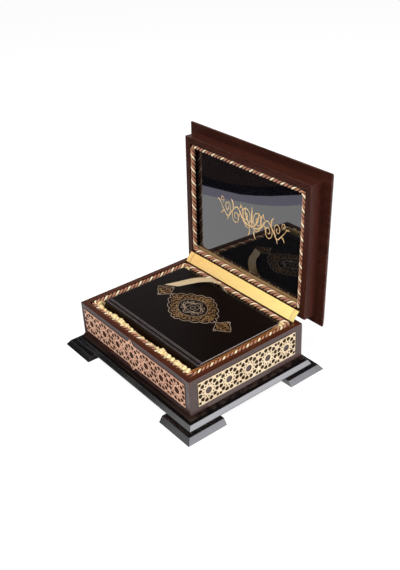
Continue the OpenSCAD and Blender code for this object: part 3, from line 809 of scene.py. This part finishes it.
def lining(side, along_x, turn, section, lumps, seed, material=gold_satin,
           reach=NO_REACH, join=0.0, gap_shade=0.0):
    run, wall = (WIDE, DEEP) if along_x else (DEEP, WIDE)
    run -= CORNER_ROOM
    wave = np.random.default_rng(seed).uniform(0, 6.28, 4)

    def gathers(u, v):
        x = (u - 0.5) * run
        x += SLANT * (v - 0.45) * sin(0.23 * x + wave[1])
        bend = 1.6 * sin(0.19 * x + wave[2])
        folds = abs(sin(0.62 * x + bend + 4.5 * v + wave[3])) ** 0.7
        return x, puffs(x, lumps, join), folds

    def place(u, v):
        x, swell, folds = gathers(u, v)
        d, z = spline([(out + out_by * swell, RIM + up + up_by * swell)
                       for out, out_by, up, up_by in section], v)
        ripple = sin(0.9 * x + 6 * v + wave[0]) + 0.6 * sin(1.7 * x - 9 * v + wave[1])
        round_off = sin(pi * v) ** 0.7
        d += (RIPPLE * ripple + FOLD_OUT * (folds - 0.6) * (0.3 + swell)) * round_off
        d -= np.interp(x, *reach) * swell * math.exp(-((v - 0.28) / 0.09) ** 2)
        z += FOLD_UP * (folds - 0.7) * swell * round_off
        return turn @ (Vector(((u - 0.5) * run, d - wall / 2, z)) * MM)

    # Painted shade: dark in the creases between folds, in the gaps between low puffs, and more
    # further down the cloth.
    def depth(u, v):
        _, swell, folds = gathers(u, v)
        low_puff_shade = gap_shade * max(0.0, 0.5 - swell)
        return min(1.0, 1.1 * (1 - folds) ** 1.3 + low_puff_shade + 0.5 * max(0.0, v - 0.55))

    piece, cut = cloth("lining_satin_" + side, place, int(run / CLOTH_STEP), CLOTH_ROWS,
                       CLOTH_T, material, depth)
    settle(piece, "box", "gold_satin", "lining_" + side)
    return piece


# Rows of a section: out from the wall and up from the rim, each followed by its growth
FRONT_SECTION = [
    (5.8, 0, -9, 0), (5.6, 0, -5.4, 0), (5.5, -5.6, -4.0, 5.2), (5.5, -4.8, -3.4, 6.8),
    (5.9, -1.6, -3.4, 8.4), (6.7, 0.8, -4.6, 7.8), (7.6, 1.2, -7.0, 4.8), (8.8, 0.6, -13, 0),
    (9.6, 0.4, FLOOR + 12, 0), (9.0, 0, FLOOR + 0.4, 0),
]
SIDE_SECTION = [
    (5.8, 0, -11, 0), (5.7, 0, -8.4, 4), (5.8, -1.6, -7.2, 7.8), (6.5, 0, -7, 9.2),
    (7.4, 0.8, -7.6, 7.4), (7.6, 0, -10, 2), (7.8, 0, -16, 0),
    (7.9, 0, FLOOR + 12, 0), (7.6, 0, FLOOR + 0.4, 0),
]
RIGHT_SECTION = [
    (5.8, 0, -11, 0), (5.4, 0, -6, 0), (4.8, -1.2, -2.4, 2.4), (5.4, 0, -1.0, 3.4),
    (6.8, 0, -0.8, 3.0), (8.4, 0, -1.6, 2.0), (9.3, 0, -5, 0), (8.6, 0, -16, 0),
    (8.0, 0, FLOOR + 12, 0), (7.6, 0, FLOOR + 0.4, 0),
]
# Lumps: from, to and height along the wall
FRONT_LUMPS = [
    (-122, -113, 0.4), (-113, -99, 0.7), (-99, -87, 0.5), (-87, -73, 0.6), (-74, -57, 0.9),
    (-57, -40, 0.95), (-40, -28, 0.7), (-28, -18, 0.5), (-18, -8, 0.34), (-8, 1, 0.26),
    (1, 14, 0.34), (14, 23, 0.27), (23, 36, 0.36), (36, 51, 0.46), (51, 65, 1.0),
    (65, 77, 0.75), (77, 87, 0.65), (87, 101, 0.8), (101, 113, 0.8), (113, 122, 0.8),
]
BACK_LUMPS = [(-122, -108, 0.6), (110, 122, 0.6)]
RIGHT_LUMPS = [(-89, -80, 0.5), (62, 75, 0.9), (75, 89, 1.2)]
LEFT_LUMPS = [(-89, -76, 0.6), (76, 89, 0.7)]
LAPS_OVER = ((-110, -95, -40, -20, 42, 54), (0, 1.4, 1.4, 0, 0, 2.8))

to_middle = Matrix.Translation((0, mid_y, 0))
front = lining("front", True, to_middle, FRONT_SECTION, FRONT_LUMPS, 1,
               reach=LAPS_OVER, join=0.45, gap_shade=1.6)
lining("back", True, to_middle @ rotated(180, "Z"), SIDE_SECTION, BACK_LUMPS, 2)
# The right lining takes the satin painted for the shade there.
lining("right", False, to_middle @ to_right, RIGHT_SECTION, RIGHT_LUMPS, 3, painted_shade_satin)
lining("left", False, to_middle @ to_left, SIDE_SECTION, LEFT_LUMPS, 4)
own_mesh(front)

# %% [markdown]
# ## Floor pad
# Under the book lies a thin pad covered with the same satin. It hardly shows, but it is a
# soft piece, so it is a crowned form with drawn-in sides rather than a block: a cube is
# subdivided, its top is raised towards the middle and its sides are pulled in.

# %% Pad
DRAWN_IN, CROWN = 0.012, 0.1
low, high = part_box("floor_pad")
pick()
bpy.ops.mesh.primitive_cube_add(size=1)
pad = bpy.context.object
pad.name = "floor_pad_satin"
edit_all(pad)
bpy.ops.mesh.subdivide(number_cuts=14)
pick()
size, centre = high - low, (high + low) / 2
for vertex in pad.data.vertices:
    x, y, z = (2 * c for c in vertex.co)
    draw = 1 - DRAWN_IN * (1 - z * z) * (abs(x) > 0.99 or abs(y) > 0.99)
    lift = z if z < 0 else z * (1 - CROWN + CROWN * (1 - x ** 4) * (1 - y ** 4))
    vertex.co = centre + Vector((x * size.x * draw, y * size.y * draw, lift * size.z)) / 2
pad.data.materials.append(gold_satin)
smooth(pad, 50)
settle(pad, "box", "gold_satin", "floor_pad")

# %% [markdown]
# ## Book
# The book is case bound in dark leather, with rounded covers, a pressed joint beside the spine
# and gilt page edges. The frame's solids are copied and eased, with a wider rounding on the
# covers, where leather is turned over a board. Its edges are lighter, partly rubbed leather and
# partly a painted highlight: full on edges that face the right window, and growing on the
# others towards the right end.

# %% Book pieces
EDGE_SHARE_LEAST, HIGHLIGHT_MORE, HIGHLIGHT_FROM = 0.3, 1.8, 0.45
for part, leather_finish, ease in (("lower_cover", cover_black, 0.9 * MM),
                                   ("upper_cover", cover_black, 0.9 * MM),
                                   ("spine", spine_brown, 0.8 * MM)):
    name = "book_" + part.replace("_cover", "") + "_leather"
    piece = board("book_" + part, name, leather_finish, "box", "cover_leather", ease)
    rubbed = piece.data.attributes["edge"].data
    # Painted highlight: edges facing right, to the right window, take the edge colour in full,
    # the others more towards the right end.
    for face in piece.data.polygons:
        near_end = max(0.0, face.center.x / inner_right - HIGHLIGHT_FROM)
        painted_highlight_share = EDGE_SHARE_LEAST + HIGHLIGHT_MORE * near_end ** 2
        rubbed[face.index].value *= 1.0 if face.normal.x > 0.5 else painted_highlight_share
board("page_block", "book_pages_gilt", pages, "box", "gilt_pages", 0.2 * MM)

# %% [markdown]
# ## Stamped ornament
# The cover carries an oval medallion of gold lines with a finial at either end, and the glass
# a gold scroll. Both are drawn as pen strokes: polyline curves with a round bevel whose radius
# swells and tapers along the stroke. They are made meshes, pressed flat and laid on their
# surface. The designs are plain vine scrolls and leaves.

# %% Strokes, in millimetres
PRESSED, ORNAMENT_LIFT = 0.22, 0.02 * MM


def stroke(points, width, ends=0.25, closed=False):
    return {"points": points, "width": width, "ends": ends, "closed": closed}


def moved(strokes, dx=0.0, sx=1.0, sy=1.0):
    return [{**one, "points": [(x * sx + dx, y * sy) for x, y in one["points"]]}
            for one in strokes]


def spiral(x, y, radius, turns, start, hand, width):
    points = []
    for k in np.linspace(0, 1, int(22 * turns) + 6):
        a = radians(start) + hand * 2 * pi * turns * k
        r = radius * (1 - 0.82 * k)
        points.append((x + r * cos(a), y + r * sin(a)))
    return stroke(points, width, 0.5)


def leaf(x, y, length, degrees, width, bend=0.18):
    line = [(length * k, bend * length * sin(pi * k)) for k in np.linspace(0, 1, 9)]
    return stroke([(a + x, b + y) for a, b in turned_points(line, degrees)], width, 0.12)


def arc_line(points, count):
    return [tuple(spline(points, k / (count - 1))) for k in range(count)]


def gold_strokes(name, strokes, place, body, material):
    curve = bpy.data.curves.new(name, "CURVE")
    curve.dimensions, curve.bevel_depth, curve.bevel_resolution = "3D", 1.0, 1
    for one in strokes:
        line = curve.splines.new("POLY")
        last, ends = len(one["points"]) - 1, 1.0 if one["closed"] else one["ends"]
        line.points.add(last)
        for i, (x, y) in enumerate(one["points"]):
            swell = ends + (1 - ends) * max(0.0, sin(pi * i / last)) ** 0.7
            line.points[i].co = (x * MM, y * MM, 0, 1)
            line.points[i].radius = swell * one["width"] / 2 * MM
        line.use_cyclic_u = one["closed"]
    curve.use_fill_caps = True
    piece = as_mesh(name, curve)
    piece.data.transform(place @ Matrix.Diagonal((1, 1, PRESSED, 1)))
    dress(piece.data, material)
    bpy.ops.object.shade_smooth()
    settle(piece, body, "gold_fret")


# %% Medallion on the cover
OVAL_A, OVAL_B, LOBES = 55.5, 39.6, 20
MEDALLION_AT = (-5.1 * MM, mid_y + 13.9 * MM)


def lens(share=1.0, scallops=0, depth=0.0, a=OVAL_A, b=OVAL_B, count=320, power=1.4):
    """A pointed oval, with its edge in round lobes where scallops are asked for."""
    points = []
    for t in np.linspace(0, 2 * pi, count, endpoint=False):
        c, s = cos(t), sin(t)
        r = share * (1 + depth * (abs(sin(scallops * t / 2)) ** 0.7 - 1))
        points.append((a * r * math.copysign(abs(c) ** (2 / power), c),
                       b * r * math.copysign(abs(s) ** (2 / power), s)))
    return points


def ring(width, **shape):
    return stroke(lens(**shape), width, closed=True)


lines = [ring(0.9, scallops=LOBES, depth=0.10), ring(0.7, a=27.5, b=22, power=1.8)]
leaves = [ring(0.6, share=0.87, scallops=LOBES, depth=0.07),
          ring(0.6, a=30.5, b=24.5, power=1.8)]
for i in range(LOBES):
    for odd, share, size, swing in ((1, 0.815, 2.7, 1), (0, 0.72, 2.6, -1), (1, 0.645, 2.1, 1)):
        x, y = lens(share, count=2 * LOBES)[2 * i + odd]
        facing = math.degrees(math.atan2(y / OVAL_B ** 2, x / OVAL_A ** 2))
        leaves += [spiral(x, y, size, 1.1, facing + 90, swing, 0.75),
                   leaf(x, y, size * 1.7, facing + 150 * swing, 0.95),
                   leaf(x, y, size * 1.6, facing - 35 * swing, 0.9)]
lines += [ring(0.8, a=21.5, b=9, power=2), ring(0.8, a=9, b=17.5, power=2),
          ring(0.8, a=18, b=14.5, power=1.2), ring(0.9, a=4.2, b=4, power=2)]
curl = [spiral(12.5, 10, 4.4, 1.3, 215, 1, 0.8), leaf(16, 3.5, 6.5, 20, 1.1)]
for sx, sy in ((1, 1), (1, -1), (-1, 1), (-1, -1)):
    lines += moved(curl, sx=sx, sy=sy)
# A lozenge with curled corners stands on either point of the oval
tip = arc_line([(0, 0), (4, 3), (8, 8.5), (12.5, 15), (16, 16), (18, 12.5), (23, 9.5),
                (29, 5.5), (35, 0)], 50)
tip_lines = [stroke(tip, 0.9, 0.7), spiral(14.2, 13.2, 2.2, 1.1, 60, 1, 0.8)]
tip_leaves = [leaf(6, 0.6, 9, 42, 1.5), leaf(11, 1, 11, 58, 1.6), leaf(17, 0.8, 8.5, 48, 1.5),
              leaf(23, 0.6, 8, 22, 1.4), spiral(16, 5.6, 3.2, 1.3, 200, 1, 1.0),
              spiral(22.5, 4.2, 2.4, 1.2, 160, -1, 0.9)]
tip_middle = stroke([(2, 0), (33, 0)], 1.2, 0.4)
for side in (1, -1):
    for sy in (1, -1):
        lines += moved(tip_lines, OVAL_A * side, side, sy)
        leaves += moved(tip_leaves, OVAL_A * side, side, sy)
    leaves += moved([tip_middle], OVAL_A * side, side)
cover_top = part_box("book_upper_cover")[1].z
place = Matrix.Translation((*MEDALLION_AT, cover_top + ORNAMENT_LIFT))
gold_strokes("cover_medallion_lines", lines, place, "box", pale_foil)
gold_strokes("cover_medallion_leaves", leaves, place, "box", gold_foil)

# %% Scroll on the glass
GLASS_RECESS, SCROLL_X, SCROLL_UP, SCROLL_TALL = 10 * MM, 10 * MM, 115.6 * MM, 1.4
# Half of a scroll that grows from the middle to the right
stem = [(0, -4), (10, -10), (22, -2), (34, 9), (46, 2), (56, -7), (66, -1), (74, 6)]
vine = [
    stroke(arc_line(stem, 90), 2.2, 0.35), spiral(14, 4, 11, 1.5, 235, -1, 1.9),
    spiral(37, -3, 10, 1.5, 75, -1, 1.8), spiral(57, 4, 8, 1.4, 250, -1, 1.6),
    spiral(70, 11, 4.5, 1.2, 240, -1, 1.3), leaf(22, -2, 16, 80, 3.0),
    leaf(26, 3, 12, -60, 2.6), leaf(44, 4, 13, 70, 2.8), leaf(50, -4, 11, -50, 2.4),
    leaf(64, -2, 10, -35, 2.2), leaf(74, 6, 9, 20, 2.2), leaf(6, -8, 12, -75, 2.6, -0.2),
    leaf(30, 8, 9, 120, 2.0),
]
scroll = moved(vine, sy=SCROLL_TALL) + moved(vine, sx=-1, sy=SCROLL_TALL)
for lean, bend in ((0, 0), (28, 0.15), (-28, -0.15), (55, 0.2), (-55, -0.2)):
    scroll.append(leaf(0, -10, 34, 90 + lean, 3.2, bend))
scroll.append(ring(1.6, a=2.4, b=2.4, count=24, power=2))
# Drawn shut, the scroll lies under the glass and faces down, with its top towards the front
under_glass = rim + LID_GAP + GLASS_RECESS - ORNAMENT_LIFT
spot = Matrix.Translation((SCROLL_X, hinge_at.y - SCROLL_UP, under_glass))
gold_strokes("glass_scroll", scroll, swing_open @ spot @ rotated(180, "X"), "lid", gold_glass)

# %% [markdown]
# ## Glass
# A dark glass panel lies in the lid, 10 mm behind the rails. The frame's own solid has the
# right shape, so it stays and gets its finish: almost black, and smooth enough to mirror the
# book, the cord and the floor in front of it.

# %% Lid glass
dress(frame["nodes"]["lid_glass"].data, glass)
print("glass", [round(c) for c in span("lid_glass")], "mm")

# %% [markdown]
# ## Bookmark
# A cream satin ribbon comes up out of the gap behind the book, arches over the edge of the
# cover and ends in a slanted cut. Its middle line and its tilt are given at twelve places,
# and a cloth grid is carried along a smooth curve through them.

# %% Ribbon
# Millimetres from the cover's back left corner and the rim, and degrees of tilt
ROUTE = [
    (41.8, -53.75, 4.2, -2), (50.9, -42.75, 7.1, -8), (60.1, -32.25, 10.4, -8),
    (67.1, -20.2, 11.1, -5), (77.8, -8.15, 11.1, 0), (84.1, -2.75, 9.7, 12),
    (90.4, 1.05, 6.2, 30), (99.4, 2.25, 1.9, 72), (107.6, 2.35, -5.4, 84),
    (117.25, 2.4, -12.5, 88), (126.25, 1.6, -17.5, 90), (131.25, -1.2, -20, 90),
]
RIBBON_W, RIBBON_CUT, AHEAD = 13.0, 15.0, 0.01
cover_low, cover_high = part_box("book_upper_cover")
ribbon_from = Vector((cover_low.x / MM, cover_high.y / MM, RIM))


def ribbon_place(u, v):
    x, y, z, tilt = spline(ROUTE, u)
    way = spline(ROUTE, min(1, u + AHEAD))[:3] - spline(ROUTE, max(0, u - AHEAD))[:3]
    ahead = Vector(way).normalized()
    flat_side = Vector((-ahead.y, ahead.x, 0)).normalized()
    t = radians(tilt)
    side = flat_side * cos(t) - Vector((0, 0, sin(t)))
    slant = RIBBON_CUT * (1.5 * v - 0.5) * max(0.0, 1 - u * 11)
    point = ribbon_from + Vector((x, y, z)) + side * (v - 0.5) * RIBBON_W
    return (point - ahead * slant) * MM


ribbon, cut = cloth("bookmark_satin", ribbon_place, 120, 10, 0.4 * MM, ribbon_satin)
settle(ribbon, "box", "bookmark_satin", "bookmark_ribbon")

# %% [markdown]
# ## Hinge strip
# A stiffened satin strip covers the hinges: its lower edge is glued on the back rim and its
# upper edge on the lid's rail. It is one cloth sheet with turned-in ends that bows a little.

# %% Strip
strip_low, strip_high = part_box("hinge_strip")
STRIP_HALF, TURNED_IN = strip_high.x / MM, 9


def strip_place(u, v):
    x = (u * 2 - 1) * STRIP_HALF
    arch = sin(pi * v)
    bow = 0.9 * arch * (1 - 0.3 * cos(6.28 * u * 2.0))
    ripple = 0.16 * sin(x * 0.11 + 4 * v) * arch
    hem = min(1.0, max(0.0, (abs(x) - STRIP_HALF + TURNED_IN) / 0.8)) * (0.55 + 0.5 * arch)
    out = 0.7 * (bow + ripple + hem)
    up = (strip_high - strip_low) / MM * v
    y, z = strip_low.y / MM + up.y * 0.94 + 0.3, strip_low.z / MM + up.z + 0.45
    return Vector((x, y - out, z + out - 0.5 * v)) * MM


# Painted shade on the strip: dark along the folds of the turned-in ends, and a little on the
# right end.
def strip_painted_shade(u, v):
    x = (u * 2 - 1) * STRIP_HALF
    from_fold = abs(x) - STRIP_HALF + TURNED_IN
    return 0.4 if abs(from_fold) < 1.2 else 0.16 if from_fold > 0 and x > 0 else 0.0


strip, cut = cloth("hinge_strip_satin", strip_place, 120, 14, 0.7 * MM, strip_satin, strip_painted_shade)
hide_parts("hinge_strip")
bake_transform(strip)

# %% [markdown]
# ## Satin edge
# A narrow satin edge shows behind the lid's cord along the foot of the glass, where the cloth
# of the strip is carried on and stuck down. It is drawn shut, across the rail's inner side and
# up the glass, and swung open.

# %% Satin edge
EDGE = [(0.3, 7.0), (0.3, 8.6), (0.9, 9.45), (3.0, 9.5), (5.5, 9.5), (8.6, 9.5)]
EDGE_HALF = inner_right / MM - 0.4


def edge_place(u, v):
    x = (u * 2 - 1) * EDGE_HALF
    up, deep = spline(EDGE, v)
    wave = 0.08 * sin(0.21 * x) * sin(pi * v)
    shut = Vector((x, inner_back / MM - up, (rim + LID_GAP) / MM + deep - wave)) * MM
    return swing_open @ shut


edge, cut = cloth("lid_edge_satin", edge_place, 120, 16, CLOTH_T, painted_shade_edge_satin)
settle(edge, "lid", "gold_satin")

# %% [markdown]
# ## Hinges
# Two brass butt hinges sit behind the strip. Their leaves, pins and screws come from the
# frame, with the edges eased. Nothing of them shows from the front, but they are what the lid
# turns on.

# %% Hinge pieces
for side in ("left", "right"):
    for owner in ("box", "lid"):
        end = owner + "_" + side
        board("hinge_leaf_" + end, "hinge_brass_" + end, brass, owner, "hinge_brass", 0.15 * MM)
    board("hinge_pin_" + side, "hinge_pin_brass_" + side, brass, "box", "hinge_brass", 0.2 * MM)
for owner in ("box", "lid"):
    board("hinge_screws_" + owner, "hinge_screw_brass_" + owner, brass, owner, "hinge_brass",
          0.1 * MM)

# %% [markdown]
# ## Floor, light and background
# The object stands on white paper in soft daylight from the right and above. The paper shows
# white to the camera and still takes the shadow. Glass and lacquer mirror what is in front of
# them: the curved edge of the paper, a dark room beyond it and the shade by the feet. Those are
# sheets that only mirrored rays see, so they neither show nor change the light.

# %% Stage
FAR, ROOM_X, ROOM_Y = 6000, -3500, -3000
SCREEN_H, SCREEN_Y = 320, -1.0
PAPER_GLOW, PAPER_DIFFUSE, PAPER_FAINT = 0.9, 0.9, 0.25


def stage_sheet(name, outline, height, colour):
    mesh = bpy.data.meshes.new(name)
    corners = [(x * MM, y * MM, height * MM) for x, y in outline]
    mesh.from_pydata(corners, [], [tuple(range(len(corners)))])
    sheet = put(name, mesh)
    material, tree, _ = finish(name, 0.5)
    tree.nodes.clear()
    path = add(tree, "LightPath").outputs
    seen = maths("ADD", path["Is Camera Ray"], path["Is Glossy Ray"])
    seen = maths("MINIMUM", maths("ADD", seen, path["Is Transmission Ray"]), 1.0)
    plain, faint = (add(tree, "BsdfDiffuse", {"Color": [k * c for c in colour]})
                    for k in (PAPER_DIFFUSE, PAPER_FAINT))
    white = add(tree, "Emission", {"Color": colour, "Strength": PAPER_GLOW})
    both = add(tree, "AddShader", {0: faint.outputs[0], 1: white.outputs[0]})
    mixed = add(tree, "MixShader", {0: seen, 1: plain.outputs[0], 2: both.outputs[0]})
    add(tree, "OutputMaterial", {"Surface": mixed.outputs[0]})
    mesh.materials.append(material)
    return sheet


def beyond(line):
    """The ground beyond a line that runs from far on the left to near the front."""
    return line + [(line[-1][0], ROOM_Y), (ROOM_X, ROOM_Y), (ROOM_X, line[0][1])]


stage_sheet("paper", [(-FAR, -FAR), (FAR, -FAR), (FAR, FAR), (-FAR, FAR)], 0.0, (1, 1, 1))
grey_to = [(-1500, -150), (-700, -190), (-506, -206), (-451, -227), (-418, -245), (-383, -262),
           (-358, -283), (-336, -308), (-322, -336), (-290, -400), (-200, -560), (-50, -700)]
band_to = [(-1500, -230), (-800, -240), (-550, -241), (-490, -260), (-451, -273), (-422, -297),
           (-400, -321), (-381, -351), (-364, -378), (-330, -450), (-250, -600), (-150, -760)]
black_to = [(-1500, -270), (-800, -276), (-599, -281), (-531, -295), (-496, -313), (-465, -337),
            (-444, -363), (-424, -394), (-384, -440), (-340, -520), (-280, -640), (-180, -800)]
by_feet = [(-175, -122), (112, -122)]
screen = [(-650, 0), (-650, SCREEN_H), (-2200, SCREEN_H), (-2200, 0)]
mirrored = [stage_sheet(*row) for row in (
    ("paper_edge", beyond(grey_to), 0.6, (0.60, 0.58, 0.74)),
    ("dark_edge", beyond(band_to), 0.9, (0.015, 0.012, 0.018)),
    ("dark_room", beyond(black_to), 1.2, (0.06, 0.036, 0.034)),
    ("dark_screen", screen, 0.0, (0.012, 0.012, 0.013)),
    ("near_shade", [(-280, -185), *by_feet, (29, -185)], 0.3, (0.45, 0.43, 0.46)),
    ("foot_shade", [(-240, -158), *by_feet, (65, -158)], 0.5, (0.12, 0.11, 0.12)),
)]
stand_up = Matrix.Translation((0, SCREEN_Y, 0)) @ upright_x
bpy.data.objects["dark_screen"].data.transform(stand_up)
for sheet in mirrored:
    sheet.visible_camera = sheet.visible_diffuse = False
    sheet.visible_shadow = sheet.visible_transmission = False
print("stage sheets:", 1 + len(mirrored))

# %% Light
AIM = Vector((0, 0, 0.1))


def soft_light(name, at, size, power, tint=(1, 1, 1)):
    lamp = bpy.data.lights.new(name, "AREA")
    lamp.shape, lamp.size, lamp.size_y, lamp.energy, lamp.color = "RECTANGLE", *size, power, tint
    made = put(name, lamp)
    made.location = at
    made.rotation_euler = (Vector(at) - AIM).to_track_quat("Z", "Y").to_euler()


soft_light("window right", (1.83, 0.55, 0.67), (1.6, 1.2), 16, (0.98, 0.96, 1.05))
soft_light("window top", (0.3, -0.45, 1.9), (1.2, 1.2), 38)

world = bpy.data.worlds.new("white surroundings")
bpy.context.scene.world = world
world.use_nodes = True
tree = world.node_tree
sky = tree.nodes["Background"].inputs
feed(sky["Color"], (1, 1, 1))
upward = parts(add(tree, "TexCoord").outputs["Generated"])["Z"]
feed(sky["Strength"], ramp(upward, 0.36, 0.45, 1.0, 0.03))
bpy.context.scene.view_settings.view_transform = "Standard"
print("lights:", len(bpy.data.lights))
